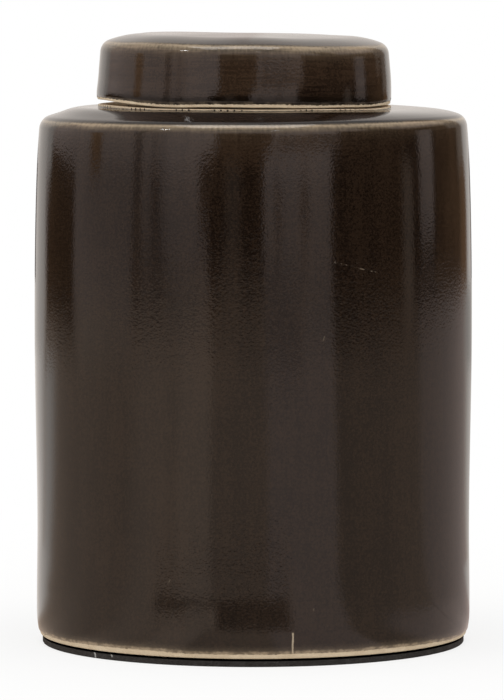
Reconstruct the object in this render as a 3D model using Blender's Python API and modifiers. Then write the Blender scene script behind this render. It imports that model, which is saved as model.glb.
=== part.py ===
"""Ceramic storage jar: a glazed stoneware jar, a cap lid that fits over its collar, and a foam pad under its foot.

Metres, with +Z up. The pad lies on the plane z = 0, and the jar's belly is centred on the Z axis.
Every height of the jar is measured up from its foot, and every height of the lid up from its lip.
"""

import bpy
import bmesh
from math import asin, atan2, cos, pi, radians, sin, sqrt, tan

# Jar, outside
JAR_RADIUS = 0.0898
FOOT_INSET = 0.0018
FOOT_EDGE_RADIUS = 0.0020
FOOT_LEAN = radians(18)
HEEL_INSET = 0.0006
HEEL_HEIGHT = 0.0140
WAIST_INSET = 0.0009
WAIST_HEIGHT = 0.0450
BELLY_HEIGHT = 0.1230
CHEST_INSET = 0.0009
CHEST_DROP = 0.0290
SHOULDER_INSET = 0.0021
SHOULDER_HEIGHT = 0.2163
SHOULDER_LEAN = radians(5)
SHOULDER_CORNER_RADIUS = 0.0055
SHOULDER_CROWN_RADIUS = 0.0620
LEDGE_SHARE = 0.26
NECK_OFFSET_SHARE = -0.16

# Jar, inside
JAR_WALL = 0.0055
JAR_FLOOR = 0.0070
FLOOR_CORNER_RADIUS = 0.0120
SHOULDER_WALL = 0.0060
INNER_CORNER_RADIUS = 0.0060
THROAT_RADIUS = 0.0040

# Lid
LID_RADIUS = 0.0604
LID_HEIGHT = 0.0289
LID_CROWN_RADIUS = 0.9000
LID_BROW_RADIUS = 0.0440
LID_BROW_SLOPE = radians(20)
LID_EDGE_RADIUS = 0.0040
LID_LEAN = radians(5)
LID_TOP_INSET = 0.0013
LID_WALL = 0.0055
LID_ROOF = 0.0055
LID_INNER_CORNER_RADIUS = 0.0060
LIP_OUTER_ROUND = 0.0022
LIP_INNER_ROUND = 0.0012

# Seat and collar, which follow the lid
SEAT_RISE = 0.0012
SEAT_INSET = 0.0003
SEAT_EDGE = 0.0003
LID_PLAY = 0.0022
COLLAR_WALL = 0.0050
COLLAR_FILLET = 0.0020
COLLAR_HEIGHT_SHARE = 0.5

# Pad
PAD_THICKNESS = 0.0030
PAD_INSET = 0.0011
PAD_EDGE = 0.0003

# Air between pieces that touch, and the distance at which a turned seam closes
TOUCH_GAP = 0.0003
SEAM_DISTANCE = 0.00001

# Facets
TURN_STEPS = 64
WALL_STEPS = 10
CROWN_STEPS = 4
CORNER_STEPS = 4
EDGE_STEPS = 3
RIM_STEPS = 6
SMOOTH_ANGLE = radians(40)

# Places that follow from the sizes
QUARTER = pi / 2
JAR_BASE = PAD_THICKNESS + TOUCH_GAP
FOOT_RADIUS = JAR_RADIUS - FOOT_INSET
SHOULDER_RADIUS = JAR_RADIUS - SHOULDER_INSET
SEAT_RADIUS = LID_RADIUS - SEAT_INSET
SEAT_HEIGHT = SHOULDER_HEIGHT + SEAT_RISE
LID_TOP_RADIUS = LID_RADIUS - LID_TOP_INSET
COLLAR_RADIUS = LID_RADIUS - LID_WALL - LID_PLAY
COLLAR_BORE_RADIUS = COLLAR_RADIUS - COLLAR_WALL
COLLAR_TOP = SEAT_HEIGHT + COLLAR_HEIGHT_SHARE * LID_HEIGHT
CORNER_CENTRE_RADIUS = SHOULDER_RADIUS - SHOULDER_CORNER_RADIUS
SHOULDER_WIDTH = CORNER_CENTRE_RADIUS - SEAT_RADIUS
LEDGE_RADIUS = SEAT_RADIUS + LEDGE_SHARE * SHOULDER_WIDTH
NECK_OFFSET = NECK_OFFSET_SHARE * SHOULDER_WIDTH


def arc(centre_radius, centre_height, radius, start, end, steps):
    """Points of an arc from one angle to another, measured up from the outward direction."""
    angles = [start + (end - start) * step / steps for step in range(steps + 1)]
    return [(centre_radius + radius * cos(a), centre_height + radius * sin(a)) for a in angles]


def smooth_radius(knots, first_slope, last_slope):
    """A smooth radius over height through the knots. It is level where the knots turn back."""
    rises = [(b[0] - a[0]) / (b[1] - a[1]) for a, b in zip(knots, knots[1:])]
    slopes = [first_slope]
    for before, after in zip(rises, rises[1:]):
        slopes.append((before + after) / 2 if before * after > 0 else 0)
    slopes.append(last_slope)

    def radius_at(height):
        span = 0
        while span < len(rises) - 1 and height > knots[span + 1][1]:
            span += 1
        (radius_a, height_a), (radius_b, height_b) = knots[span], knots[span + 1]
        length = height_b - height_a
        t = (height - height_a) / length
        ends = radius_a + (3 * t**2 - 2 * t**3) * (radius_b - radius_a)
        return ends + length * ((t**3 - 2 * t**2 + t) * slopes[span] + (t**3 - t**2) * slopes[span + 1])

    return radius_at


def even_heights(low, high, steps):
    return [low + (high - low) * step / steps for step in range(steps + 1)]


def shoulder(side_radius, corner_radius, crown_radius, crown_centre_height, lean):
    """The corner and the crown of a shoulder, from the top of the wall up to the level ledge."""
    centre_radius = side_radius - corner_radius
    across = centre_radius - LEDGE_RADIUS
    up = sqrt((crown_radius - corner_radius) ** 2 - across**2)
    joint = atan2(up, across)
    corner = arc(centre_radius, crown_centre_height + up, corner_radius, lean, joint, CORNER_STEPS)
    crown = arc(LEDGE_RADIUS, crown_centre_height, crown_radius, joint, QUARTER, CROWN_STEPS)
    return corner + crown[1:]


def cap(top, reach, crown_radius, brow_radius, edge_radius):
    """A domed top from the axis outwards: a flat crown, a rounder brow and a tight edge that reaches the side."""
    brow = sin(LID_BROW_SLOPE)
    side = cos(LID_LEAN)
    crown = asin((reach - brow_radius * brow - edge_radius * (side - brow)) / (crown_radius - brow_radius))
    points = arc(0, top - crown_radius, crown_radius, QUARTER, QUARTER - crown, CROWN_STEPS)
    for radius, start, end in (
        (brow_radius, crown, LID_BROW_SLOPE),
        (edge_radius, LID_BROW_SLOPE, QUARTER - LID_LEAN),
    ):
        last_radius, last_height = points[-1]
        centre_radius = last_radius - radius * sin(start)
        centre_height = last_height - radius * cos(start)
        points += arc(centre_radius, centre_height, radius, QUARTER - start, QUARTER - end, CORNER_STEPS)[1:]
    return points


def jar_profile():
    """The jar's section, from the middle of its floor up the inside and down the outside."""
    crown_centre = SHOULDER_HEIGHT - SHOULDER_CROWN_RADIUS
    outer_shoulder = shoulder(
        SHOULDER_RADIUS, SHOULDER_CORNER_RADIUS, SHOULDER_CROWN_RADIUS, crown_centre, SHOULDER_LEAN
    )
    inner_shoulder = shoulder(
        SHOULDER_RADIUS - JAR_WALL,
        INNER_CORNER_RADIUS,
        SHOULDER_CROWN_RADIUS - SHOULDER_WALL,
        crown_centre,
        SHOULDER_LEAN,
    )
    foot_centre = FOOT_RADIUS - FOOT_EDGE_RADIUS * cos(FOOT_LEAN)
    foot_edge = arc(foot_centre, FOOT_EDGE_RADIUS, FOOT_EDGE_RADIUS, -FOOT_LEAN, -QUARTER, EDGE_STEPS)
    barrel = smooth_radius(
        [
            foot_edge[0],
            (JAR_RADIUS - HEEL_INSET, HEEL_HEIGHT),
            (JAR_RADIUS - WAIST_INSET, WAIST_HEIGHT),
            (JAR_RADIUS, BELLY_HEIGHT),
            (JAR_RADIUS - CHEST_INSET, SHOULDER_HEIGHT - CHEST_DROP),
            outer_shoulder[0],
        ],
        tan(FOOT_LEAN),
        -tan(SHOULDER_LEAN),
    )

    floor_bend = JAR_FLOOR + FLOOR_CORNER_RADIUS
    floor_centre = barrel(floor_bend) - JAR_WALL - FLOOR_CORNER_RADIUS
    floor_corner = arc(floor_centre, floor_bend, FLOOR_CORNER_RADIUS, -QUARTER, 0, CORNER_STEPS)
    inner_heights = even_heights(floor_bend, inner_shoulder[0][1], WALL_STEPS)
    inner_wall = [(barrel(height) - JAR_WALL, height) for height in inner_heights[1:-1]]

    ceiling = SHOULDER_HEIGHT - SHOULDER_WALL
    throat = arc(
        COLLAR_BORE_RADIUS + THROAT_RADIUS, ceiling + THROAT_RADIUS, THROAT_RADIUS, -QUARTER, -pi, EDGE_STEPS
    )
    rim_round = COLLAR_WALL / 2
    rim = arc(COLLAR_BORE_RADIUS + rim_round, COLLAR_TOP - rim_round, rim_round, pi, 0, RIM_STEPS)
    fillet = arc(
        COLLAR_RADIUS + COLLAR_FILLET, SEAT_HEIGHT + COLLAR_FILLET, COLLAR_FILLET, pi, pi + QUARTER, EDGE_STEPS
    )
    seat = [
        (SEAT_RADIUS - SEAT_EDGE, SEAT_HEIGHT),
        (SEAT_RADIUS, SEAT_HEIGHT - SEAT_EDGE),
        (SEAT_RADIUS, SHOULDER_HEIGHT),
    ]
    outer_heights = even_heights(foot_edge[0][1], outer_shoulder[0][1], WALL_STEPS)
    outer_wall = [(barrel(height), height) for height in outer_heights[1:-1]]

    inside = [(0, JAR_FLOOR)] + floor_corner + inner_wall + inner_shoulder + throat
    outside = rim + fillet + seat + outer_shoulder[::-1] + outer_wall[::-1] + foot_edge + [(0, 0)]
    return inside + outside


def lid_profile():
    """The lid's section, from the middle of its top down the outside and up the inside."""
    outer_cap = cap(LID_HEIGHT, LID_TOP_RADIUS, LID_CROWN_RADIUS, LID_BROW_RADIUS, LID_EDGE_RADIUS)
    inner_cap = cap(
        LID_HEIGHT - LID_ROOF,
        LID_TOP_RADIUS - LID_WALL,
        LID_CROWN_RADIUS - LID_ROOF,
        LID_BROW_RADIUS - LID_ROOF,
        LID_INNER_CORNER_RADIUS,
    )
    side = smooth_radius([(LID_RADIUS, LIP_OUTER_ROUND), outer_cap[-1]], 0, -tan(LID_LEAN))
    side_heights = even_heights(LIP_OUTER_ROUND, outer_cap[-1][1], CORNER_STEPS)
    outer_side = [(side(height), height) for height in side_heights[1:-1]]
    lip = arc(LID_RADIUS - LIP_OUTER_ROUND, LIP_OUTER_ROUND, LIP_OUTER_ROUND, 0, -QUARTER, CORNER_STEPS)
    lip_inner_radius = LID_RADIUS - LID_WALL + LIP_INNER_ROUND
    lip += arc(lip_inner_radius, LIP_INNER_ROUND, LIP_INNER_ROUND, -QUARTER, -pi, EDGE_STEPS)
    return outer_cap + outer_side[::-1] + lip + inner_cap[::-1]


def material(name, colour, roughness):
    made = bpy.data.materials.new(name)
    made.use_nodes = True
    shader = made.node_tree.nodes["Principled BSDF"]
    shader.inputs["Base Color"].default_value = (*colour, 1)
    shader.inputs["Roughness"].default_value = roughness
    shader.inputs["Metallic"].default_value = 0
    return made


def place(name, mesh, finish, collection):
    piece = bpy.data.objects.new(name, mesh)
    mesh.materials.append(finish)
    collection.objects.link(piece)
    return piece


def turned(name, profile, finish, collection):
    """A round piece: its section, turned about the Z axis."""
    mesh = bpy.data.meshes.new(name)
    edges = [(point, point + 1) for point in range(len(profile) - 1)]
    mesh.from_pydata([(radius, 0, height) for radius, height in profile], edges, [])
    piece = place(name, mesh, finish, collection)
    screw = piece.modifiers.new("Turn", "SCREW")
    screw.axis = "Z"
    screw.steps = TURN_STEPS
    screw.render_steps = TURN_STEPS
    screw.use_merge_vertices = True
    screw.merge_threshold = SEAM_DISTANCE
    return piece


def settled(piece):
    """Turns a piece's modifiers into its own mesh, with smooth shading between its sharp edges."""
    evaluated = piece.evaluated_get(bpy.context.evaluated_depsgraph_get())
    mesh = bpy.data.meshes.new_from_object(evaluated)
    piece.modifiers.clear()
    piece.data = mesh
    mesh.shade_smooth()
    mesh.set_sharp_from_angle(angle=SMOOTH_ANGLE)
    return mesh


def neck_share(radius):
    """How far a point of the shoulder follows the neck: none at the corner, all of it at the ledge."""
    t = (CORNER_CENTRE_RADIUS - radius) / (CORNER_CENTRE_RADIUS - LEDGE_RADIUS)
    t = min(max(t, 0), 1)
    return t * t * (3 - 2 * t)


def make_jar_body(collection):
    """One stoneware shell. Its neck was set a little to one side when it was joined to the shoulder."""
    glaze = material("brown_glaze", (0.036, 0.024, 0.017), 0.15)
    piece = turned("jar_body", jar_profile(), glaze, collection)
    mesh = settled(piece)
    for vertex in mesh.vertices:
        if vertex.co.z > BELLY_HEIGHT:
            radius = sqrt(vertex.co.x**2 + vertex.co.y**2)
            vertex.co.x += NECK_OFFSET * neck_share(radius)
    piece.location = (0, 0, JAR_BASE)


def make_lid(collection):
    """A cap lid, on the axis of the neck. It rests on the seat and lifts straight off the collar."""
    glaze = material("lid_glaze", (0.036, 0.024, 0.017), 0.15)
    piece = turned("lid", lid_profile(), glaze, collection)
    settled(piece)
    piece.location = (NECK_OFFSET, 0, JAR_BASE + SEAT_HEIGHT + TOUCH_GAP)


def make_base_pad(collection):
    """A disc of black foam, stuck under the foot, with its edges eased."""
    foam = material("black_foam", (0.027, 0.027, 0.025), 0.9)
    radius = FOOT_RADIUS - PAD_INSET
    disc = bmesh.new()
    bmesh.ops.create_cone(
        disc, cap_ends=True, segments=TURN_STEPS, radius1=radius, radius2=radius, depth=PAD_THICKNESS
    )
    mesh = bpy.data.meshes.new("base_pad")
    disc.to_mesh(mesh)
    disc.free()
    piece = place("base_pad", mesh, foam, collection)
    piece.location = (0, 0, PAD_THICKNESS / 2)
    edge = piece.modifiers.new("Edge", "BEVEL")
    edge.width = PAD_EDGE
    edge.segments = 1
    edge.limit_method = "ANGLE"
    edge.angle_limit = SMOOTH_ANGLE
    settled(piece)


def main():
    for old in list(bpy.data.objects):
        bpy.data.objects.remove(old, do_unlink=True)
    collection = bpy.data.collections.new("ceramic_storage_jar")
    bpy.context.scene.collection.children.link(collection)
    make_base_pad(collection)
    make_jar_body(collection)
    make_lid(collection)


main()
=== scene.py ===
"""The looks of a ceramic storage jar: brown glaze over pale clay, a cap lid and a foam pad."""

import bpy
from math import asin, atan2, cos, hypot, pi, radians, sin, sqrt, tan
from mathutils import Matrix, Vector, noise


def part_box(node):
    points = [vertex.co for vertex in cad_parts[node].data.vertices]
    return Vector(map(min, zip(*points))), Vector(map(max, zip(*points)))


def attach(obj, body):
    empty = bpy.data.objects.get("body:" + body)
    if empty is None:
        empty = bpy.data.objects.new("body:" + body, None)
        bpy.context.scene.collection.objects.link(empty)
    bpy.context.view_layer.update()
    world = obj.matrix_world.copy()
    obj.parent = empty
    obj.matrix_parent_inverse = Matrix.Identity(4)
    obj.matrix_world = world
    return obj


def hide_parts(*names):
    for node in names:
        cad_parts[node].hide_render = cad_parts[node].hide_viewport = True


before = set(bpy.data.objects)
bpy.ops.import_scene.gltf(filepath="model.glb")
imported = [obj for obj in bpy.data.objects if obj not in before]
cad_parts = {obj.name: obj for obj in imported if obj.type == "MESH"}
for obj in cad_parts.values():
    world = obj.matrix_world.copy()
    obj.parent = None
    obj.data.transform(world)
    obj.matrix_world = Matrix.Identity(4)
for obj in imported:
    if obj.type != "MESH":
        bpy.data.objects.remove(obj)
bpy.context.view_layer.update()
PAD_LOW, PAD_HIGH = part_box("base_pad")
JAR_LOW, JAR_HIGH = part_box("jar_body")
LID_LOW, LID_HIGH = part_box("lid")

# Sizes of the solids that the boxes don't give, in metres
JAR_RADIUS = 0.08979
FOOT_INSET = 0.0018
FOOT_LEAN = radians(18)
BELLY_HEIGHT = 0.1230
# The wall's inset from the belly at a few heights
BARREL = ((0.0006, 0.0140), (0.0009, 0.0450), (0, BELLY_HEIGHT), (0.0009, 0.1873))
SHOULDER_INSET = 0.0021
SHOULDER_HEIGHT = 0.2163
SHOULDER_LEAN = radians(5)
SHOULDER_CORNER_RADIUS = 0.0055
SHOULDER_CROWN_RADIUS = 0.0620
LEDGE_SHARE = 0.26
JAR_WALL = 0.0055
JAR_FLOOR = 0.0070
FLOOR_CORNER_RADIUS = 0.0120
SHOULDER_WALL = 0.0060
INNER_CORNER_RADIUS = 0.0060
THROAT_RADIUS = 0.0040
LID_TOP_INSET = 0.0013
LID_HEIGHT = 0.0289
LID_CROWN_RADIUS = 0.9000
LID_BROW_RADIUS = 0.0440
LID_BROW_SLOPE = radians(20)
LID_EDGE_RADIUS = 0.0054
LID_LEAN = radians(5)
LID_WALL = 0.0055
LID_INNER_CORNER_RADIUS = 0.0060
LIP_INNER_ROUND = 0.0012
SEAT_RISE = 0.0012
SEAT_INSET = 0.0003
SEAT_EDGE = 0.0003
LID_PLAY = 0.0022
COLLAR_WALL = 0.0050
COLLAR_FILLET = 0.0020
QUARTER = pi / 2

JAR_BASE = JAR_LOW.z
LID_BASE = LID_LOW.z
LID_RADIUS = (LID_HIGH.y - LID_LOW.y) / 2
NECK_OFFSET = (LID_HIGH.x + LID_LOW.x) / 2
SHOULDER_RADIUS = JAR_RADIUS - SHOULDER_INSET
FOOT_RADIUS = JAR_RADIUS - FOOT_INSET
SEAT_RADIUS = LID_RADIUS - SEAT_INSET
SEAT_HEIGHT = SHOULDER_HEIGHT + SEAT_RISE
COLLAR_RADIUS = LID_RADIUS - LID_WALL - LID_PLAY
COLLAR_BORE_RADIUS = COLLAR_RADIUS - COLLAR_WALL
COLLAR_TOP = JAR_HIGH.z - JAR_BASE
CORNER_CENTRE_RADIUS = SHOULDER_RADIUS - SHOULDER_CORNER_RADIUS
LEDGE_RADIUS = SEAT_RADIUS + LEDGE_SHARE * (CORNER_CENTRE_RADIUS - SEAT_RADIUS)

# The finish: bare edges, how deep the glaze is and where its lower edges are. The line of the
# glaze is sharper on the seat's edge by the gain.
MILLIMETRE = 0.001
BARE = -0.01
FOOT_EDGE_RADIUS = 0.0009
LIP_OUTER_ROUND = 0.0004
GLAZE_DEPTH = 0.00022
GLAZE_BEAD = 0.00008
LINE_WIDTH = 0.00022
BEAD_REACH = 3 * LINE_WIDTH
FOOT_BAND = 0.0022
FOOT_BAND_LOSS = 0.0004
FOOT_ZONE = 3 * FOOT_BAND
LIP_BAND = 0.00122
LIP_ZONE = 3 * LIP_BAND
SEAT_BAND = 0.00042
SEAT_LINE_GAIN = 5
CREASE = 0.00005
INNER_BAND = 0.0030
# How the edges wander: each wave has its count, its size and its phase
FOOT_WAVES = ((2, 0.00015, 1.0), (5, 0.00018, 0.4), (9, 0.00012, 2.2), (17, 0.00007, 5.0))
LIP_BAND_WAVES = ((3, 0.00014, 0.6), (5, 0.00012, 2.0), (11, 0.00005, 4.1))
LIP_WAVES = ((4, 0.00020, 1.57), (7, 0.00010, 1.2), (13, 0.00005, 0.3))
SEAT_WAVES = ((4, 0.00012, 0.3), (7, 0.00008, 1.9))
BROW_WAVES = ((3, 0.00022, 0.4), (5, 0.00016, 2.6), (8, 0.00010, 1.1))
# Steps round each piece
JAR_TURN_STEPS = 420
LID_TURN_STEPS = 360
PAD_TURN_STEPS = 480
# Steps of the shoulder's and the lid's arcs, and the step where the glaze runs thinnest
CORNER_STEPS = 22
CROWN_STEPS = 26
CORNER_LINE = 12
LID_STEPS = 14
BROW_LINE = LID_STEPS + 18
# How thin it runs there: shares and reaches above that line, then those below it
CORNER_THIN = (((1, 0.0020),), ((0.72, 0.0036), (0.22, 0.014)))
BROW_THIN = (((0.9, 0.0030),), ((0.60, 0.0050), (0.36, 0.013)))
# Glaze that ran down the lid lies thick below the first height, and not above the second
POOL_LOW = 0.0022
POOL_HIGH = 0.0068

# This example's own faults: a heel pushed out by a finger, a seat, a ledge and a shoulder that
# sag, and a lid that warped in the kiln. A span says where a fault starts and where it is full.
HEEL_BULGE = 0.0002
HEEL_SIDE = radians(262)
HEEL_REACH = radians(38)
HEEL_LOW_SPAN = (0, 0.008)
HEEL_HIGH_SPAN = (0.034, 0.022)
SEAT_TILT = 0.00045
SEAT_LIFT = -0.0001
LID_WARP_SPAN = (0.3, 0.85)
LID_LEFT_RISE = 0.0011
LID_LEFT_SPAN = (-0.002, 0.042)
LID_RIGHT_DROP = 0.0003
LID_RIGHT_SPAN = (0.010, 0.052)
BROW_WAVE_SPAN = (0.3, 0.9)
LIP_REACH = 0.012
LIP_RISE = 0.0002
LIP_TILT = 0.00025
LIP_LEFT_RISE = 0.0016
LIP_SHIFT = 0.0003
LIP_TUCK = 0.00015
LIP_TUCK_HEIGHT = 0.0046
SHOULDER_TILT = 0.0005
SHOULDER_SAG = 0.0003
SHOULDER_SPAN = (0.160, 0.205)
FRONT_SAG = 0.00035
FRONT_SAG_SIDE = radians(274)
FRONT_SAG_REACH = radians(60)
LEDGE_RISE = 0.0006
LEDGE_SIDE_DROP = 0.0004
LEDGE_SWAY = 0.6
# The lip's lift at the left is full up to the first of these angles, and gone at the second
LIP_LEFT_SPAN = (radians(15), radians(70))
# Marks on the front, each from one place to another, across and up: a crack in the glaze at the
# foot, a scratch near it, a row of pits and some nicks
CRACK = ((0.0156, 0.0030), (0.0158, 0.0138))
SCRATCH = ((0.0721, 0.0223), (0.0841, 0.0079))
PITS = ((0.0320, 0.1612), (0.0496, 0.1564))
NICKS = (
    ((0.0276, 0.1300), (0.0283, 0.1318)),
    ((-0.0336, 0.0334), (-0.0331, 0.0347)),
    ((0.0240, 0.0224), (0.0241, 0.0234)),
    ((-0.0820, 0.0080), (-0.0818, 0.0086)),
    ((0.0322, 0.1611), (0.0325, 0.1613)),
)
# Pale scuffs on the pad's side
SCUFFS = (((-0.0641, 0.0029), (-0.0633, 0.0002)), ((-0.0571, 0.0027), (-0.0567, 0.0014)))
# Half of each mark's width, and how far back the marks stop
CRACK_HALF_WIDTH = 0.00046
SCRATCH_HALF_WIDTH = 0.0003
PIT_HALF_WIDTH = 0.00028
NICK_HALF_WIDTH = 0.00034
SCUFF_HALF_WIDTH = 0.0004
MARKS_END = (-0.03, -0.02)
# Drops of glaze on the seat's edge: how many there are all round, the depths below its top
# between which they appear, and how many millimetres they reach over the glaze's line
SEAT_DROPS = 140
DROPS_LOW = 0.0010
DROPS_HIGH = 0.0006
DROP_REACH = 2.6

# The pad: its eased edge, the cells of its cut side, and the depths below its top between which
# the painted shadow under the jar's foot begins
PAD_EDGE = 0.0003
FOAM_CELL = 0.0016
FOAM_DEPTH = 0.00018
PAINTED_SHADOW_LOW = 0.0009
PAINTED_SHADOW_HIGH = 0.0005

# Colours of the pieces, and how their glaze and foam bend light
DARK_TINT = (1, 0.55, 0.36)
LIGHT_TINT = (1, 0.57, 0.34)
BROKEN_GLAZE = (0.31, 0.235, 0.155)
POOLED_GLAZE = (0.0032, 0.0020, 0.0013)
SCRATCHED_GLAZE = (0.004, 0.003, 0.002)
FLECK = (0.08, 0.057, 0.04)
STAINED_CLAY = (0.70, 0.54, 0.36)
PALE_CLAY = (0.88, 0.72, 0.51)
FOAM_BLACK = (0.014, 0.013, 0.012)
FOAM_GREY = (0.040, 0.038, 0.036)
FOAM_SPECK = (0.12, 0.115, 0.11)
FOAM_SCUFF = (0.45, 0.44, 0.42)
GLAZE_IOR = 1.5
FOAM_IOR = 1.45

# The camera, as solved from the ellipses of the shoulder and of the foot
CAMERA_PLACE = (-0.0005, -2.340, 0.298)
CAMERA_PITCH = radians(4.3525)
CAMERA_LENS = 293.49
SENSOR_WIDTH = 36

# The room. Bearings are in degrees round the stand from the camera, and heights and distances
# in metres.
TABLE_RADIUS = 2.4
FLOOR_RADIUS = 60
WALL_RADIUS = 3.4
TABLE_TURN_STEPS = 360
FLOOR_TURN_STEPS = 90
WALL_TURN_STEPS = 900
WALL_LIGHT = 0.52
TABLE_LIGHT = 0.62
BOARD = (0.86, 0.85, 0.83)
# The wall glows brighter high up on the camera's side, and some patches lean sideways there
UPPER_GAIN = 0.7
UPPER_SPAN = (0.22, 0.50)
UPPER_SIDES = (-130, 130)
SLANT = 5
SLANT_SPAN = (0.46, 0.54)
SLANT_SIDES = (-25, 60)
SIDE_BLUR = 10
# How soft the borders of the painted light patches are, and how far they stray. The table's get
# softer and stray further with the distance: each has its start and what is added.
WALL_BLUR = 0.004
WALL_STRAY = 0.012
FAR_SPAN = (0.5, 1.5)
TABLE_BLUR = (0.006, 0.02)
TABLE_STRAY = (0.012, 0.26)
BEARING_STRAY = 0.5
BEARING_GRAIN = 0.45
AWAY_GRAIN = 1.6
OTHER_NOISE = Vector((0, 0, 7.3))
# The camera sees this share of the table as plain white near the jar, and the rest further out
WHITE_NEAR = 0.78
WHITE_SPAN = (0.12, 0.5)
SKY_IN_MIRRORS = 0.5
SKY_ON_THE_REST = 0.92
# Tints of the painted light patches
WHITE = (1, 0.93, 0.87)
WARM = (1, 0.82, 0.75)
SAND = (1, 0.79, 0.64)
WOOD = (1, 0.58, 0.32)
# Patches of painted light and shade that the wall glows with, though it is no lamp: bearings,
# heights, softness of the sides, light and tint
WALL_GLOW_PATCHES = (
    (-180, -141, -1, 4, 3, 0.84, WHITE),
    (-181, -166, -1, 0.08, 2, 0.10, WARM),
    (-138.5, -108, -1, 0.235, 1.5, 0.09, WOOD),
    (-141, -137, 0.06, 0.14, 1.5, 0.36, WARM),
    (-141, -134.5, 0.13, 4, 1.5, 0.66, WHITE),
    (-95.5, -87.5, 0.26, 0.8, 0.8, 0.36, WOOD),
    (-100, -66, -1, 0.0, 3, 0.60, WARM),
    (-65, -60.2, -1, 4, 0.8, 0.20, WARM),
    (-53.6, -51.8, -1, 4, 0.6, 0.34, WARM),
    (-54.5, -49.5, 0.12, 0.34, 0.8, 0.16, WARM),
    (-54.5, -48.0, -1, 0.14, 1.0, 0.36, WARM),
    (-46, -24, -1, 4, 1.5, 0.66, WARM),
    (-45, -24, -1, -0.02, 2, 0.44, WARM),
    (-66, -46, 0.040, 0.052, 1.5, 0.06, WOOD),
    (-66, -43, 0.018, 0.032, 1.5, 0.06, WOOD),
    (-66, -40, -0.006, 0.010, 2, 0.06, WOOD),
    (-66, -26, -0.030, -0.014, 3, 0.05, WOOD),
    (-62, -20, -0.054, -0.038, 4, 0.05, WOOD),
    (-23.5, 5.5, -1, 1.3, 1.5, 0.02, WOOD),
    (-28.0, -21.5, 0.15, 0.44, 0.8, 0.02, WOOD),
    (-15, -7, -1, 0.40, 2.0, 0.20, SAND),
    (-23.5, 5.5, 0.42, 1.3, 1.5, 0.20, WOOD),
    (-20, 5.5, -1, 0.01, 2, 0.36, SAND),
    (5.5, 41.5, -1, 4, 0.8, 0.66, WARM),
    (11.3, 12.8, -1, 4, 0.4, 0.38, WARM),
    (25.8, 27.4, -1, 4, 0.4, 0.45, WARM),
    (11.0, 15.5, 0.13, 0.22, 0.8, 0.14, WOOD),
    (24.5, 29.0, 0.16, 0.26, 0.8, 0.10, WOOD),
    (7, 41, 0.53, 0.66, 3, 0.20, WOOD),
    (5.5, 41.5, -1, -0.012, 1.0, 0.27, WARM),
    (5.5, 9.5, -1, 0.035, 1.0, 0.28, WARM),
    (41.5, 141, -1, 1.3, 1.0, 0.015, WOOD),
    (41.5, 141, 0.47, 1.3, 1.0, 0.12, WOOD),
    (65, 84, -1, 4, 3.0, 0.07, WOOD),
    (84.5, 91.5, -1, 0.30, 1.5, 0.38, SAND),
    (97.2, 109, 0.05, 0.42, 1.0, 0.56, WARM),
    (97.2, 109, 0.42, 0.72, 1.0, 0.36, WARM),
    (111, 140, -1, 1.3, 1.5, 0.12, WOOD),
    (119, 137, 0.038, 0.136, 1.0, 0.18, WOOD),
    (128, 134, 0.12, 0.55, 1.5, 0.19, WOOD),
    (140, 153, -1, 4, 2.0, 0.25, WOOD),
    (139, 153, 0.13, 4, 2.0, 0.34, SAND),
    (128, 143, 0.38, 1.3, 1.5, 0.30, SAND),
    (153, 180, -1, 4, 2.0, 0.80, WHITE),
    (152, 180, 0.06, 4, 1.0, 0.82, WHITE),
    (149, 180, 0.12, 4, 1.0, 0.82, WHITE),
    (167, 181, -1, 0.08, 2.0, 0.10, WARM),
)
# Patches of painted light and shade that the table glows with in a mirror: bearings, distances,
# softness of the sides, light and tint
TABLE_GLOW_PATCHES = (
    (-181, -141, 0, 9, 4, 0.98, WHITE),
    (-181, -141, 1.6, 9, 4, 0.82, WHITE),
    (-141, -122, 0, 9, 8, 0.84, WHITE),
    (-125, -100, 0, 9, 8, 0.54, SAND),
    (-139.5, -104, 1.5, 9, 3, 0.42, SAND),
    (-137.5, -106, 2.0, 9, 2, 0.09, WOOD),
    (-100, -60, 1.5, 9, 6, 0.76, SAND),
    (-62, -38, 0, 9, 8, 0.84, SAND),
    (-38, -20.5, 0, 9, 3, 0.94, SAND),
    (-20.5, 7, 0, 9, 2, 0.60, SAND),
    (-20.5, 7, 1.5, 9, 2, 0.50, SAND),
    (7, 42, 0, 9, 2, 0.74, WARM),
    (7, 25, 1.5, 9, 2, 0.46, WARM),
    (42, 95, 0, 9, 2, 0.46, SAND),
    (42, 95, 1.5, 9, 2, 0.32, SAND),
    (95, 148, 0, 9, 5, 0.54, WARM),
    (148, 181, 0, 9, 6, 0.70, WHITE),
    (148, 181, 1.4, 9, 6, 0.53, WHITE),
    (-181, -127, 0, 0.42, 12, 0.95, WHITE),
    (-181, -122, 0, 0.26, 12, 0.93, WHITE),
    (137, 181, 0, 0.34, 4, 0.74, WHITE),
    (60, 116, 0, 0.235, 8, 0.66, WARM),
    (-17, 17, 0.21, 0.44, 3, 0.17, SAND),
    (-46, -15, 0.28, 0.42, 3, 0.14, SAND),
    (-31.4, -17, 0.215, 0.33, 0.8, 0.92, SAND),
    (-43.7, -36.1, 0.215, 0.285, 0.8, 0.80, SAND),
)


# Outlines
def arc(centre_radius, centre_height, radius, start, end, steps):
    """Points of an arc from one angle to another, measured up from the outward direction."""
    angles = [start + (end - start) * step / steps for step in range(steps + 1)]
    return [(centre_radius + radius * cos(a), centre_height + radius * sin(a)) for a in angles]


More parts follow.
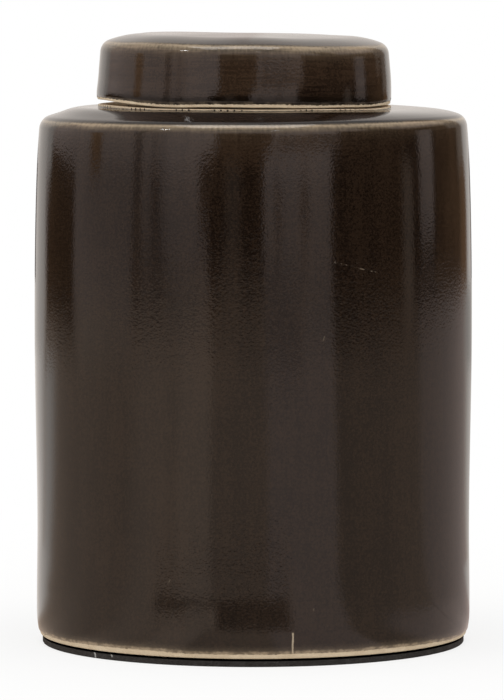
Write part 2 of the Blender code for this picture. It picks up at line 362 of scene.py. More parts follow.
def smooth_radius(knots, first_slope, last_slope):
    """A smooth radius over height through the knots. It is level where the knots turn back."""
    rises = [(b[0] - a[0]) / (b[1] - a[1]) for a, b in zip(knots, knots[1:])]
    slopes = [first_slope]
    for before, after in zip(rises, rises[1:]):
        slopes.append((before + after) / 2 if before * after > 0 else 0)
    slopes.append(last_slope)

    def radius_at(height):
        span = 0
        while span < len(rises) - 1 and height > knots[span + 1][1]:
            span += 1
        (radius_a, height_a), (radius_b, height_b) = knots[span], knots[span + 1]
        length = height_b - height_a
        t = (height - height_a) / length
        ends = radius_a + (3 * t**2 - 2 * t**3) * (radius_b - radius_a)
        bend = (t**3 - 2 * t**2 + t) * slopes[span] + (t**3 - t**2) * slopes[span + 1]
        return ends + length * bend

    return radius_at


def even(low, high, steps):
    """Evenly spaced values, with both ends."""
    return [low + (high - low) * step / steps for step in range(steps + 1)]


def between(start, end, steps):
    """A straight run between two points, without the points themselves."""
    (r0, z0), (r1, z1) = start, end
    return [(r0 + (r1 - r0) * s / steps, z0 + (z1 - z0) * s / steps) for s in range(1, steps)]


def shoulder(side_radius, corner_radius, crown_radius, crown_centre, corner_steps, crown_steps):
    """The shoulder from the side up: a tight corner, and a crown that ends level at the ledge."""
    centre_radius = side_radius - corner_radius
    across = centre_radius - LEDGE_RADIUS
    up = sqrt((crown_radius - corner_radius) ** 2 - across**2)
    joint = atan2(up, across)
    centre = centre_radius, crown_centre + up
    corner = arc(*centre, corner_radius, SHOULDER_LEAN, joint, corner_steps)
    crown = arc(LEDGE_RADIUS, crown_centre, crown_radius, joint, QUARTER, crown_steps)
    return corner + crown[1:]


def cap(top, reach, crown_radius, brow_radius, edge_radius, steps):
    """A domed top from the axis outwards: a flat crown, a rounder brow and a tight edge.

    The edge ends at the side, as far out as the reach says.
    """
    brow = sin(LID_BROW_SLOPE)
    side = cos(LID_LEAN)
    crown_reach = reach - brow_radius * brow - edge_radius * (side - brow)
    crown = asin(crown_reach / (crown_radius - brow_radius))
    points = arc(0, top - crown_radius, crown_radius, QUARTER, QUARTER - crown, steps)
    for radius, start, end in (
        (brow_radius, crown, LID_BROW_SLOPE),
        (edge_radius, LID_BROW_SLOPE, QUARTER - LID_LEAN),
    ):
        last_radius, last_height = points[-1]
        centre = last_radius - radius * sin(start), last_height - radius * cos(start)
        points += arc(*centre, radius, QUARTER - start, QUARTER - end, steps)[1:]
    return points


def smoothstep(low, high, value):
    """Nothing at low, one at high, and smooth between them."""
    t = min(max((value - low) / (high - low), 0), 1)
    return t * t * (3 - 2 * t)


def waves(angle, table):
    """A wandering line round a piece: a sum of a few waves, each with its count, size and phase."""
    return sum(size * sin(count * angle + phase) for count, size, phase in table)


# Meshes
def round_mesh(name, outline, steps, form):
    """A closed round piece: each point of the outline is turned, and form says where it ends up."""
    places, edge, thin, rows = [], [], [], []
    for radius, height, into_glaze, thinness in outline:
        turns = steps if radius else 1
        rows.append((len(places), turns))
        for turn in range(turns):
            place, distance = form(2 * pi * turn / steps, radius, height, into_glaze)
            places.append(place)
            edge.append(distance / MILLIMETRE)
            thin.append(thinness)
    faces = []
    for (first, turns), (second, next_turns) in zip(rows, rows[1:]):
        for turn in range(steps):
            after = (turn + 1) % steps
            upper = [first + after, first + turn] if turns > 1 else [first]
            lower = [second + turn, second + after] if next_turns > 1 else [second]
            faces.append(upper + lower)
    mesh = bpy.data.meshes.new(name)
    mesh.from_pydata(places, [], faces)
    for label, values in (("glaze_edge", edge), ("thin_glaze", thin)):
        mesh.attributes.new(label, "FLOAT", "POINT").data.foreach_set("value", values)
    mesh.shade_smooth()
    piece = bpy.data.objects.new(name, mesh)
    bpy.context.collection.objects.link(piece)
    return piece


def lengths(points):
    """How far along the outline each point lies."""
    run = [0]
    for (r0, z0), (r1, z1) in zip(points, points[1:]):
        run.append(run[-1] + hypot(r1 - r0, z1 - z0))
    return run


def fall(distance, reach):
    """One at no distance, and nothing from the reach on."""
    return max(0, 1 - abs(distance) / reach) ** 2


def thinned(distance, sides):
    """How thin the glaze runs at a distance below an edge, or above it if that is negative."""
    above, below = sides
    return sum(share * fall(distance, reach) for share, reach in (above if distance < 0 else below))


def from_side(angle, side):
    """The smaller angle between two directions."""
    return abs((angle - side + pi) % (2 * pi) - pi)


def jar_outline():
    """The jar's outline: up the inside from the middle of the floor, over the rim and down.

    Each point has a radius, a height, its distance into the glaze and how thin the glaze is there.
    """
    crown_centre = SHOULDER_HEIGHT - SHOULDER_CROWN_RADIUS
    outer = shoulder(
        SHOULDER_RADIUS,
        SHOULDER_CORNER_RADIUS,
        SHOULDER_CROWN_RADIUS,
        crown_centre,
        CORNER_STEPS,
        CROWN_STEPS,
    )
    inner = shoulder(
        SHOULDER_RADIUS - JAR_WALL,
        INNER_CORNER_RADIUS,
        SHOULDER_CROWN_RADIUS - SHOULDER_WALL,
        crown_centre,
        8,
        8,
    )
    foot_centre = FOOT_RADIUS - FOOT_EDGE_RADIUS * cos(FOOT_LEAN)
    foot_edge = arc(foot_centre, FOOT_EDGE_RADIUS, FOOT_EDGE_RADIUS, -FOOT_LEAN, -QUARTER, 8)
    knots = [(JAR_RADIUS - inset, height) for inset, height in BARREL]
    barrel = smooth_radius([foot_edge[0], *knots, outer[0]], tan(FOOT_LEAN), -tan(SHOULDER_LEAN))

    floor_bend = JAR_FLOOR + FLOOR_CORNER_RADIUS
    floor_centre = barrel(floor_bend) - JAR_WALL - FLOOR_CORNER_RADIUS
    inside = [(0, JAR_FLOOR), (floor_centre / 2, JAR_FLOOR)]
    inside += arc(floor_centre, floor_bend, FLOOR_CORNER_RADIUS, -QUARTER, 0, 8)
    inside += [(barrel(z) - JAR_WALL, z) for z in even(floor_bend, inner[0][1], 24)[1:-1]]
    ceiling = SHOULDER_HEIGHT - SHOULDER_WALL
    throat = COLLAR_BORE_RADIUS + THROAT_RADIUS, ceiling + THROAT_RADIUS
    inside += inner + arc(*throat, THROAT_RADIUS, -QUARTER, -pi, 8)
    rim_round = COLLAR_WALL / 2
    rim_centre = COLLAR_BORE_RADIUS + rim_round
    rim = arc(rim_centre, COLLAR_TOP - rim_round, rim_round, pi, 0, 16)
    inside += between(inside[-1], rim[0], 6)
    inside += [point for point in rim if point[0] < rim_centre]
    points = [(r, z, COLLAR_TOP - INNER_BAND - z, 0) for r, z in inside]

    seat_edge = arc(SEAT_RADIUS - SEAT_EDGE, SEAT_HEIGHT - SEAT_EDGE, SEAT_EDGE, QUARTER, 0, 4)
    bend = COLLAR_RADIUS + COLLAR_FILLET, SEAT_HEIGHT + COLLAR_FILLET
    fillet = arc(*bend, COLLAR_FILLET, pi, pi + QUARTER, 6)
    seat = [point for point in rim if point[0] >= rim_centre]
    seat += between(rim[-1], fillet[0], 8) + fillet
    seat += between(fillet[-1], seat_edge[0], 6) + seat_edge
    ledge = (SEAT_RADIUS, SHOULDER_HEIGHT + LEDGE_RISE)
    seat += between(seat_edge[-1], ledge, 4)
    seat += [(SEAT_RADIUS, ledge[1] + CREASE), ledge]
    side = SEAT_RADIUS - SEAT_EDGE / 2
    line = SEAT_HEIGHT - SEAT_BAND
    points += [(r, z, SEAT_LINE_GAIN * (line - z) if r > side else BARE, 0) for r, z in seat]
    ledge_glaze = points[-1][2]

    low = even(foot_edge[0][1], FOOT_ZONE, 26)
    wall = [(barrel(z), z) for z in even(FOOT_ZONE, outer[0][1], 96)[:-1]]
    outer = [(r, z + LEDGE_RISE * ledge_share(r)) for r, z in outer]
    shell = [(SEAT_RADIUS + CREASE, ledge[1])] + between(ledge, outer[-1], 8)
    shell += outer[::-1] + wall[::-1] + [(barrel(z), z) for z in low[-2:0:-1]]
    run = lengths(shell)
    corner = run[shell.index(outer[CORNER_LINE])]
    for (r, z), at in zip(shell, run):
        into_glaze = ledge_glaze + abs(SEAT_RADIUS - r) if z > BELLY_HEIGHT else z
        points.append((r, z, into_glaze, thinned(at - corner, CORNER_THIN)))
    points += [(r, z, z, 0) for r, z in foot_edge]
    return points + [(foot_centre * share, 0, BARE, 0) for share in (0.98, 0.5, 0)]


def ledge_share(radius):
    """How far a point of the shoulder rises with the ledge: not at the side, fully at the ledge."""
    return 1 - max(0, (radius - LEDGE_RADIUS) / (SHOULDER_RADIUS - LEDGE_RADIUS)) ** 2


def neck_share(radius):
    """How far a point of the shoulder follows the neck: not at the corner, fully at the ledge."""
    return smoothstep(0, 1, (CORNER_CENTRE_RADIUS - radius) / (CORNER_CENTRE_RADIUS - LEDGE_RADIUS))


def jar_form(angle, radius, height, into_glaze):
    """Where a point of the jar ends up, with its glaze and this example's faults."""
    shift = NECK_OFFSET * neck_share(radius) if height > BELLY_HEIGHT else 0
    outside = radius > FOOT_RADIUS - JAR_WALL / 2 and height < SHOULDER_HEIGHT / 2
    if outside and height < FOOT_ZONE:
        wander = waves(angle, FOOT_WAVES)
        into_glaze = height - FOOT_BAND + FOOT_BAND_LOSS * cos(angle) ** 2 - wander
        radius -= GLAZE_DEPTH * (1 - smoothstep(-LINE_WIDTH, LINE_WIDTH, into_glaze))
        radius += GLAZE_BEAD * fall(into_glaze - BEAD_REACH, BEAD_REACH)
    if outside:
        bulge = HEEL_BULGE * smoothstep(*HEEL_HIGH_SPAN, height)
        bulge *= smoothstep(*HEEL_LOW_SPAN, height)
        radius += bulge * fall(from_side(angle, HEEL_SIDE), HEEL_REACH)
    if radius > LEDGE_RADIUS:
        share = smoothstep(*SHOULDER_SPAN, height) * (1 - neck_share(radius))
        sag = SHOULDER_SAG + FRONT_SAG * fall(from_side(angle, FRONT_SAG_SIDE), FRONT_SAG_REACH)
        height += share * (SHOULDER_TILT * cos(angle) - sag)
    sway = SEAT_LIFT - SEAT_TILT * cos(angle) + waves(angle, SEAT_WAVES)
    ledge_sway = LEDGE_SWAY * sway - LEDGE_SIDE_DROP * cos(angle) ** 2
    seat_top = SEAT_HEIGHT + COLLAR_FILLET
    if COLLAR_RADIUS < radius <= SEAT_RADIUS and SHOULDER_HEIGHT < height < seat_top:
        share = smoothstep(SHOULDER_HEIGHT + LEDGE_RISE, SEAT_HEIGHT, height)
        rise = ledge_sway + (sway - ledge_sway) * share
        height += rise * smoothstep(COLLAR_RADIUS, COLLAR_RADIUS + COLLAR_FILLET, radius)
    elif radius > SEAT_RADIUS and height > BELLY_HEIGHT:
        height += ledge_sway * ledge_share(radius) ** 2
    return (shift + radius * cos(angle), radius * sin(angle), JAR_BASE + height), into_glaze


def lid_outline():
    """The lid's outline: from the middle of its top down the outside, and up the inside."""
    reach = LID_RADIUS - LID_TOP_INSET
    outer_cap = cap(
        LID_HEIGHT,
        reach,
        LID_CROWN_RADIUS,
        LID_BROW_RADIUS,
        LID_EDGE_RADIUS,
        LID_STEPS,
    )
    inner_cap = cap(
        LID_HEIGHT - LID_WALL,
        reach - LID_WALL,
        LID_CROWN_RADIUS - LID_WALL,
        LID_BROW_RADIUS - LID_WALL,
        LID_INNER_CORNER_RADIUS,
        6,
    )
    side = smooth_radius([(LID_RADIUS, LIP_OUTER_ROUND), outer_cap[-1]], 0, -tan(LID_LEAN))
    heights = even(LIP_OUTER_ROUND, outer_cap[-1][1], 26)
    outside = outer_cap + [(side(z), z) for z in heights[-2:0:-1]]
    lip_centre = LID_RADIUS - LIP_OUTER_ROUND
    outside += arc(lip_centre, LIP_OUTER_ROUND, LIP_OUTER_ROUND, 0, -QUARTER, 14)
    inner_lip_centre = LID_RADIUS - LID_WALL + LIP_INNER_ROUND
    inside = arc(inner_lip_centre, LIP_INNER_ROUND, LIP_INNER_ROUND, -QUARTER, -pi, 6)
    inside += inner_cap[::-1]
    run = lengths(outside)
    points = []
    for (r, z), at in zip(outside, run):
        pooled = 1 - smoothstep(POOL_LOW, POOL_HIGH, z)
        points.append((r, z, z, thinned(at - run[BROW_LINE], BROW_THIN) - pooled))
    bare_to = 2 * INNER_BAND
    return points + [(r, z, BARE if z < bare_to else z - bare_to, 0) for r, z in inside]


def lid_form(angle, radius, height, into_glaze):
    """Where a point of the lid ends up, with its glaze and this example's faults."""
    left = smoothstep(*LID_LEFT_SPAN, -radius * cos(angle))
    right = smoothstep(*LID_RIGHT_SPAN, radius * cos(angle))
    up = smoothstep(*LID_WARP_SPAN, height / LID_HEIGHT)
    lip = 1 - smoothstep(0, LIP_REACH, height)
    # Only the outside's points carry their own height as the distance into the glaze
    if into_glaze == height:
        radius -= LIP_TUCK * fall(height, LIP_TUCK_HEIGHT)
        into_glaze = height - LIP_BAND - waves(angle, LIP_BAND_WAVES)
        if height < LIP_ZONE:
            radius -= GLAZE_DEPTH * (1 - smoothstep(-LINE_WIDTH, LINE_WIDTH, into_glaze))
    rise = up * (LID_LEFT_RISE * left - LID_RIGHT_DROP * right)
    rise += up * waves(angle, BROW_WAVES) * smoothstep(*BROW_WAVE_SPAN, radius / LID_RADIUS)
    rise = min(rise, LID_HEIGHT - height)
    rise += lip * (LIP_RISE - LIP_TILT * cos(angle) + waves(angle, LIP_WAVES))
    rise += lip * LIP_LEFT_RISE * (1 - smoothstep(*LIP_LEFT_SPAN, from_side(angle, pi)))
    x = NECK_OFFSET + radius * cos(angle) - LIP_SHIFT * lip
    return (x, radius * sin(angle), LID_BASE + height + rise), into_glaze


def pad_outline():
    """A flat foam disc with its edges eased."""
    radius = (PAD_HIGH.y - PAD_LOW.y) / 2
    thickness = PAD_HIGH.z
    top = arc(radius - PAD_EDGE, thickness - PAD_EDGE, PAD_EDGE, QUARTER, 0, 4)
    foot = arc(radius - PAD_EDGE, PAD_EDGE, PAD_EDGE, 0, -QUARTER, 4)
    outline = [(0, thickness)] + between((0, thickness), top[0], 6) + top
    outline += between(top[-1], foot[0], 10) + foot + between(foot[-1], (0, 0), 6) + [(0, 0)]
    return [(r, z, 0, 0) for r, z in outline]


def pad_form(angle, radius, height, into_glaze):
    """Where a point of the pad ends up: its cut side is rough, and never past the disc."""
    place = Vector((radius * cos(angle), radius * sin(angle), height))
    roughness = noise.noise(place / FOAM_CELL) + 0.6 * noise.noise(place / (0.4 * FOAM_CELL))
    if 0 < height < PAD_HIGH.z:
        worn = FOAM_DEPTH * (1 + max(-1, min(roughness, 1)))
        place.xy *= 1 - worn / (2 * max(radius, FOAM_DEPTH))
    return tuple(place), into_glaze


# Materials
class Link:
    """A shader socket that sums can be written with."""

    def __init__(self, paint, socket):
        self.paint = paint
        self.socket = socket

    def __add__(self, other):
        return self.paint.math("ADD", self, other)

    def __sub__(self, other):
        return self.paint.math("SUBTRACT", self, other)

    def __rsub__(self, other):
        return self.paint.math("SUBTRACT", other, self)

    def __mul__(self, other):
        return self.paint.math("MULTIPLY", self, other)

    __radd__ = __add__
    __rmul__ = __mul__

    def step(self, low, high):
        """Nothing below low, one above high, and smooth between them."""
        settings = {"interpolation_type": "SMOOTHSTEP"}
        sockets = {"Value": self, "From Min": low, "From Max": high}
        return self.paint.node("ShaderNodeMapRange", settings, sockets)


class Paint:
    """The nodes of one material, or of the world."""

    def __init__(self, owner):
        owner.use_nodes = True
        self.tree = owner.node_tree
        self.tree.nodes.clear()

    def node(self, kind, settings, sockets, output=0):
        """Any node: its type, its settings, and a value or a link for each of its sockets."""
        made = self.tree.nodes.new(kind)
        for name, value in settings.items():
            setattr(made, name, value)
        for key, value in sockets.items():
            if isinstance(value, Link):
                self.tree.links.new(value.socket, made.inputs[key])
            else:
                made.inputs[key].default_value = value
        return Link(self, made.outputs[output])

    def math(self, operation, first, second=0):
        return self.node("ShaderNodeMath", {"operation": operation}, {0: first, 1: second})

    def place(self):
        return self.node("ShaderNodeTexCoord", {}, {}, "Object")

    def axis(self, place, name):
        return self.node("ShaderNodeSeparateXYZ", {}, {0: place}, name)

    def scaled(self, place, scale):
        return self.node("ShaderNodeVectorMath", {"operation": "MULTIPLY"}, {0: place, 1: scale})

    def noise(self, place, size, detail=2.0, roughness=0.5):
        """Soft noise, about one lump for each size, from 0 to 1."""
        sockets = {"Vector": place, "Scale": 1 / size, "Detail": detail, "Roughness": roughness}
        return self.node("ShaderNodeTexNoise", {}, sockets)

    def attribute(self, name):
        return self.node("ShaderNodeAttribute", {"attribute_name": name}, {}, "Fac")

    def mix(self, factor, first, second):
        """One colour turning into another."""
        sockets = {0: factor, 6: first, 7: second}
        return self.node("ShaderNodeMix", {"data_type": "RGBA"}, sockets, 2)

    def bump(self, height, depth):
        return self.node("ShaderNodeBump", {}, {"Height": height, "Distance": depth})

    def glow(self, light):
        return self.node("ShaderNodeEmission", {}, {"Color": light, "Strength": 1.0})

    def ray(self, kind):
        return self.node("ShaderNodeLightPath", {}, {}, kind)

    def finish(self, surface, kind="ShaderNodeOutputMaterial"):
        end = self.tree.nodes.new(kind)
        self.tree.links.new(surface.socket, end.inputs["Surface"])


def colour(parts, shade=1):
    """A socket's colour from its red, green and blue, all of them shaded alike."""
    return (*(part * shade for part in parts), 1)


def along(paint, x, z, ends, half_width):
    """One on a thin line across the front, from one place to the other, and nothing beside it."""
    (x0, z0), (x1, z1) = ends
    length = hypot(x1 - x0, z1 - z0)
    way_x, way_z = (x1 - x0) / length, (z1 - z0) / length
    run = (x - x0) * way_x + (z - z0) * way_z
    off = paint.math("ABSOLUTE", (x - x0) * way_z - (z - z0) * way_x)
    across = 1.0 - off.step(half_width * 0.5, half_width)
    past_end = run.step(length - half_width, length + half_width)
    return across * run.step(-half_width, half_width) * (1.0 - past_end)


def seat_drops(paint, place, x, y, z):
    """How far drops of glaze reach over the line on the seat's edge, in millimetres."""
    around = paint.math("ARCTAN2", y, x - NECK_OFFSET) * SEAT_DROPS + paint.noise(place, 0.02) * 8
    seat_top = JAR_BASE + SEAT_HEIGHT
    seat = z.step(seat_top - DROPS_LOW, seat_top - DROPS_HIGH)
    seat = seat * paint.noise(place, 0.014, 1.0).step(0.42, 0.55)
    return paint.math("SINE", around).step(0.5, 1.0) * seat * DROP_REACH


def front_marks(paint, place, x, y, z):
    """How far the front is cracked, scratched and pitted, each from 0 to 1."""
    front = 1.0 - y.step(*MARKS_END)
    wander = (paint.noise(place, 0.0025, 2.0, 0.5) - 0.5) * 0.0006
    crack = along(paint, x + wander, z, CRACK, CRACK_HALF_WIDTH)
    scratch = along(paint, x + wander, z, SCRATCH, SCRATCH_HALF_WIDTH)
    dotted = 0.04 + 0.96 * paint.noise(place, 0.0013, 0.0).step(0.60, 0.68)
    pits = along(paint, x, z + wander, PITS, PIT_HALF_WIDTH) * dotted
    for nick in NICKS:
        pits = pits + along(paint, x, z, nick, NICK_HALF_WIDTH) * 0.5
    return crack * front, scratch * front, pits * front


def glazed(name, dark, light, combed, turned, edge_wear, clay_tone_and_painted_light, faults):
    """Dark brown glaze over pale clay. It breaks to tan where it runs thin.

    combed and turned say how much the upright streaks and the throwing lines show.
    """
    material = bpy.data.materials.new(name)
    paint = Paint(material)
    place = paint.place()
    x, y, z = (paint.axis(place, axis) for axis in "XYZ")

    # The glaze's ragged edge, and the paler glaze beside it
    distance = paint.attribute("glaze_edge") + (paint.noise(place, 0.0014, 4.0, 0.7) - 0.5) * 1.5
    if faults:
        distance = distance + seat_drops(paint, place, x, y, z)
    glaze = distance.step(-0.14, 0.18)
    wear = paint.noise(place, 0.004, 3.0, 0.6).step(0.35, 0.65)
    near_foot = 1.0 - z.step(0.02, 0.03)
    halo = (1.0 - distance.step(0.0, 1.7)) * (0.3 + 0.8 * wear)
    halo = (halo + (1.0 - distance.step(0.5, 4.6)) * near_foot * 0.30) * edge_wear

    # The depth of its brown
    upright = paint.noise(paint.scaled(place, (1, 1, 0.05)), 0.0011, 3.0, 0.6)
    streak = paint.noise(paint.scaled(place, (1, 1, 0.10)), 0.010, 3.0, 0.55)
    turning = paint.noise(paint.scaled(place, (0.05, 0.05, 1)), 0.0009, 3.0, 0.6)
    mottle = paint.noise(place, 0.0009, 2.0, 0.7)
    cloud = paint.noise(place, 0.030, 3.0, 0.5)
    fleck = paint.noise(place, 0.0012, 2.0, 0.5).step(0.70, 0.80)
    depth = streak * 0.5 + cloud * 0.5 + (upright - 0.5) * combed + (turning - 0.5) * turned
    depth = depth + (mottle - 0.5) * 1.5
    body = paint.mix(depth.step(0.30, 0.72), colour(DARK_TINT, dark), colour(LIGHT_TINT, light))
    thin = paint.attribute("thin_glaze")
    body = paint.mix(thin.step(0.0, -1.0) * 0.85, body, colour(POOLED_GLAZE))
    broken = 0.85 + 1.2 * (upright - 0.5) + 0.9 * (turning - 0.5) + 0.8 * (cloud - 0.5)
    worn = paint.math("MAXIMUM", thin, 0) * broken + halo
    tan_glaze = paint.mix(worn.step(0.0, 1.0), body, colour(BROKEN_GLAZE))
    glaze_colour = paint.mix(fleck * 0.10, tan_glaze, colour(FLECK))

    grain = paint.noise(place, 0.0005, 3.0, 0.7)
    stain = paint.noise(place, 0.006, 3.0, 0.6)
    # Clay brightness: its own tone on the jar; on the lid, a painted light on the down-facing lip
    stained, pale = (colour(clay, clay_tone_and_painted_light) for clay in (STAINED_CLAY, PALE_CLAY))
    clay = paint.mix((grain * 0.5 + stain * 0.5).step(0.3, 0.7), stained, pale)
    if faults:
        crack, scratch, pits = front_marks(paint, place, x, y, z)
        glaze = glaze * (1.0 - 0.55 * crack) * (1.0 - 0.16 * pits)
        glaze_colour = paint.mix(scratch * 0.6, glaze_colour, colour(SCRATCHED_GLAZE))
    base = paint.mix(glaze, clay, glaze_colour)

    # The surface, in millimetres: the glaze's skin and the grain of the clay
    roughness = 0.80 - glaze * (0.735 - 0.04 * cloud)
    peel = paint.noise(place, 0.0010, 1.0, 0.6) * 0.030
    peel = peel + paint.noise(place, 0.009, 2.0, 0.5) * 0.022
    waviness = paint.noise(paint.scaled(place, (1, 1, 0.4)), 0.045, 1.0, 0.5) * 0.28
    throwing = turning * 0.01 * turned
    height = glaze * (peel + waviness + throwing + 0.1)
    height = height + (1.0 - glaze) * (grain * 0.05 + stain * 0.03)
    if faults:
        height = height - scratch * 0.03
    normal = paint.bump(height, MILLIMETRE)
    sockets = {"Base Color": base, "Roughness": roughness, "Normal": normal, "IOR": GLAZE_IOR}
    paint.finish(paint.node("ShaderNodeBsdfPrincipled", {}, sockets))
    return material


def foam(name):
    """Black foam: open cells, pale specks, scuffs at the front and a painted shadow under the jar.
    """
    material = bpy.data.materials.new(name)
    paint = Paint(material)
    place = paint.place()
    x, y, z = (paint.axis(place, axis) for axis in "XYZ")
    cells = paint.noise(place, 0.0009, 4.0, 0.7)
    patches = paint.noise(place, 0.006, 2.0, 0.5)
    speck = paint.noise(place, 0.0007, 1.0, 0.5).step(0.68, 0.76)
    share = (cells * 0.7 + patches * 0.3).step(0.35, 0.7)
    base = paint.mix(share, colour(FOAM_BLACK), colour(FOAM_GREY))
    base = paint.mix(speck * 0.35, base, colour(FOAM_SPECK))
    wander = (paint.noise(place, 0.001) - 0.5) * 0.001
    for scuff in SCUFFS:
        worn = along(paint, x + wander, z, scuff, SCUFF_HALF_WIDTH) * (1.0 - y.step(*MARKS_END))
        base = paint.mix(worn * 0.8, base, colour(FOAM_SCUFF))
    normal = paint.bump(cells, 0.0004)
    sockets = {"Base Color": base, "Roughness": 0.92, "Normal": normal, "IOR": FOAM_IOR}
    side = paint.node("ShaderNodeBsdfPrincipled", {}, sockets)
    # A painted shadow: the top of the pad's side turns to a dark diffuse where the jar's foot
    # shades it
    black = paint.node("ShaderNodeBsdfDiffuse", {}, {"Color": colour((0, 0, 0))})
    joint = z.step(PAD_HIGH.z - PAINTED_SHADOW_LOW, PAD_HIGH.z - PAINTED_SHADOW_HIGH)
    paint.finish(paint.node("ShaderNodeMixShader", {}, {0: joint, 1: side, 2: black}))
    return material


# The table, the wall and the lights, which aren't part of the jar
def within(value, low, high, blur):
    """One between low and high, nothing outside, and soft at both borders."""
    past_low = smoothstep(low - blur, low + blur, value)
    return past_low * (1 - smoothstep(high - blur, high + blur, value))


def lit(bearing, away, light, tint, areas, blur, stray):
    """The light at a bearing, and at a height or distance, once each area is laid over the last.

    The areas' borders stray a little, as torn paper does.
    """
    spot = Vector((bearing * BEARING_GRAIN, away * AWAY_GRAIN / stray, 0))
    bearing += BEARING_STRAY * noise.noise(spot)
    away += stray * noise.noise(spot + OTHER_NOISE)
    parts = [light * part for part in tint]
    for start, end, low, high, side_blur, area_light, area_tint in areas:
        share = within(bearing, start, end, side_blur) * within(away, low, high, blur)
        parts = [part + share * (area_light * own - part) for part, own in zip(parts, area_tint)]
    return parts


def wall_light(bearing, height):
    gain = UPPER_GAIN * smoothstep(*UPPER_SPAN, height) * within(bearing, *UPPER_SIDES, SIDE_BLUR)
    bearing -= SLANT * smoothstep(*SLANT_SPAN, height) * within(bearing, *SLANT_SIDES, SIDE_BLUR)
    parts = lit(bearing, height, WALL_LIGHT, WARM, WALL_GLOW_PATCHES, WALL_BLUR, WALL_STRAY)
    return [part * (1 + gain) for part in parts]


def table_light(bearing, distance):
    far = smoothstep(*FAR_SPAN, distance)
    blur, stray = (start + more * far for start, more in (TABLE_BLUR, TABLE_STRAY))
    return lit(bearing, distance, TABLE_LIGHT, SAND, TABLE_GLOW_PATCHES, blur, stray)


def ring(name, rows, steps, light_at):
    """A stage surface turned round the stand.

    Each row has a radius, a height, and its place on the painted light patches for light_at.
    """
    points, lights = [], []
    for radius, height, away in rows:
        for step in range(steps):
            bearing = 360 * step / steps - 180
            turn = radians(bearing)
            points.append((radius * sin(turn), -radius * cos(turn), height))
            lights += [*light_at(bearing, away), 1]
    faces = []
    for first in range(0, (len(rows) - 1) * steps, steps):
        for step in range(steps):
            here, after = first + step, first + (step + 1) % steps
            faces.append([here, after, after + steps, here + steps])
    mesh = bpy.data.meshes.new(name)
    mesh.from_pydata(points, [], faces)
    mesh.attributes.new("light", "FLOAT_COLOR", "POINT").data.foreach_set("color", lights)
    made = bpy.data.objects.new(name, mesh)
    bpy.context.collection.objects.link(made)
    return made


def light_colour(paint):
    """The light that ring laid on the surface."""
    return paint.node("ShaderNodeAttribute", {"attribute_name": "light"}, {}, "Color")


def mirrored(paint):
    """One where the surface is seen in a mirror or through glass."""
    return paint.math("MAXIMUM", paint.ray("Is Glossy Ray"), paint.ray("Is Transmission Ray"))


def board():
    """The table: white to the camera, with the jar's soft shadow; in a mirror it glows with painted
    light.
    """
    material = bpy.data.materials.new("pale_board")
    paint = Paint(material)
    matt = paint.node("ShaderNodeBsdfDiffuse", {}, {"Color": colour(BOARD)})
    white = paint.glow(colour((1, 1, 1)))
    away = paint.node("ShaderNodeVectorMath", {"operation": "LENGTH"}, {0: paint.place()}, "Value")
    share = WHITE_NEAR + (1 - WHITE_NEAR) * away.step(*WHITE_SPAN)
    share = paint.ray("Is Camera Ray") * share
    seen = paint.node("ShaderNodeMixShader", {}, {0: share, 1: matt, 2: white})
    # In a mirror the table is no lamp, yet glows with its painted light and shade
    sheets = paint.glow(light_colour(paint))
    paint.finish(paint.node("ShaderNodeMixShader", {}, {0: mirrored(paint), 1: seen, 2: sheets}))
    return material


def panels():
    """The wall, glowing with its painted light and shade, though it is no lamp."""
    material = bpy.data.materials.new("wall_glow")
    paint = Paint(material)
    paint.finish(paint.glow(light_colour(paint)))
    return material


def room():
    """A white table and a wall that glows with painted light and shade, which only a mirror shows.
    """
    radii = (0.02, *even(0.05, 0.5, 45), *even(0.55, 1.4, 12), *even(1.43, TABLE_RADIUS, 32))
    near = [(radius, 0, radius) for radius in radii]
    near = ring("table", near, TABLE_TURN_STEPS, table_light)
    far = [(radius, 0, 1) for radius in (TABLE_RADIUS, FLOOR_RADIUS)]
    far = ring("floor", far, FLOOR_TURN_STEPS, table_light)
    for made in (near, far):
        made.data.materials.append(board())
    far.visible_glossy = False
    heights = (-0.4, *even(-0.10, 0.08, 36), *even(0.1, 0.6, 20), 0.8, 1.2, 2.0, 3.4)
    wall = [(WALL_RADIUS, height, height) for height in heights]
    wall = ring("wall", wall, WALL_TURN_STEPS, wall_light)
    wall.data.materials.append(panels())
    for kind in ("camera", "diffuse", "shadow", "volume_scatter"):
        setattr(wall, "visible_" + kind, False)

    world = bpy.data.worlds.new("room")
    bpy.context.scene.world = world
    paint = Paint(world)
    sky = paint.ray("Is Camera Ray")
    mirror = mirrored(paint)
    unseen = mirror * SKY_IN_MIRRORS + (1.0 - mirror) * SKY_ON_THE_REST
    sockets = {"Color": colour((1, 1, 1)), "Strength": sky + (1.0 - sky) * unseen}
    paint.finish(paint.node("ShaderNodeBackground", {}, sockets), "ShaderNodeOutputWorld")


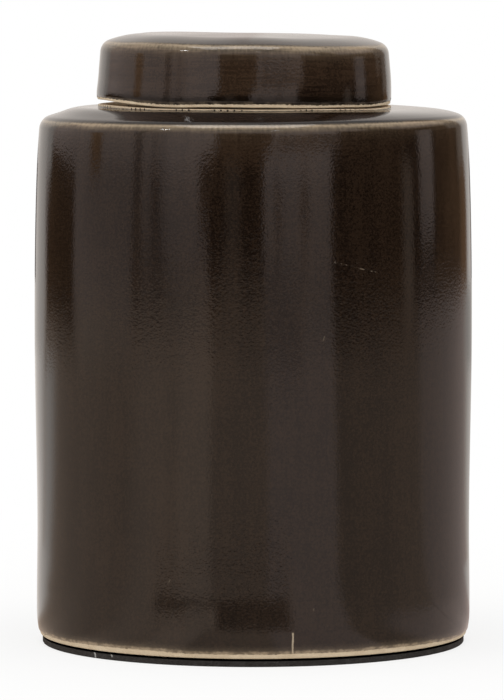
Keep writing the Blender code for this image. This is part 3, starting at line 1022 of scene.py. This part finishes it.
def softbox(name, place, aim, size, power):
    """A soft lamp that faces its aim."""
    light = bpy.data.lights.new(name, "AREA")
    light.shape = "RECTANGLE"
    light.size, light.size_y = size
    light.energy = power
    made = bpy.data.objects.new(name, light)
    made.location = place
    made.rotation_euler = (Vector(aim) - Vector(place)).to_track_quat("-Z", "Y").to_euler()
    bpy.context.collection.objects.link(made)


def camera():
    data = bpy.data.cameras.new("camera")
    data.sensor_width = SENSOR_WIDTH
    data.lens = CAMERA_LENS
    made = bpy.data.objects.new("camera", data)
    made.location = CAMERA_PLACE
    made.rotation_euler = (QUARTER - CAMERA_PITCH, 0, 0)
    bpy.context.collection.objects.link(made)
    bpy.context.scene.camera = made


# The pieces, in their room
def main():
    camera()
    jar = round_mesh("glazed_jar", jar_outline(), JAR_TURN_STEPS, jar_form)
    jar_glaze = glazed(
        "jar_glaze",
        dark=0.0066,
        light=0.0176,
        combed=0.30,
        turned=0.30,
        edge_wear=0.9,
        clay_tone_and_painted_light=0.82,
        faults=True,
    )
    jar.data.materials.append(jar_glaze)
    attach(jar, "jar")
    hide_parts("jar_body")

    lid = round_mesh("glazed_lid", lid_outline(), LID_TURN_STEPS, lid_form)
    lid_glaze = glazed(
        "lid_glaze",
        dark=0.0110,
        light=0.0270,
        combed=0.06,
        turned=1.20,
        edge_wear=0.4,
        # brighter than the jar's clay: a painted light on the lid's lip
        clay_tone_and_painted_light=1.12,
        faults=False,
    )
    lid.data.materials.append(lid_glaze)
    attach(lid, "lid")
    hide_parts("lid")

    pad = round_mesh("foam_pad", pad_outline(), PAD_TURN_STEPS, pad_form)
    pad.data.materials.append(foam("black_foam"))
    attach(pad, "jar")
    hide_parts("base_pad")

    room()
    softbox("overhead", (-0.1, -0.25, 1.9), aim=(-0.1, -0.05, 0), size=(1.25, 0.9), power=11)
    softbox("left_lamp", (-1.45, -0.96, 1.80), aim=(0, 0, 0.20), size=(0.05, 0.12), power=1.0)
    softbox("right_lamp", (0.42, -1.70, 1.80), aim=(0, 0, 0.20), size=(0.06, 0.06), power=0.3)


main()
bpy.context.scene.view_settings.view_transform = "Standard"
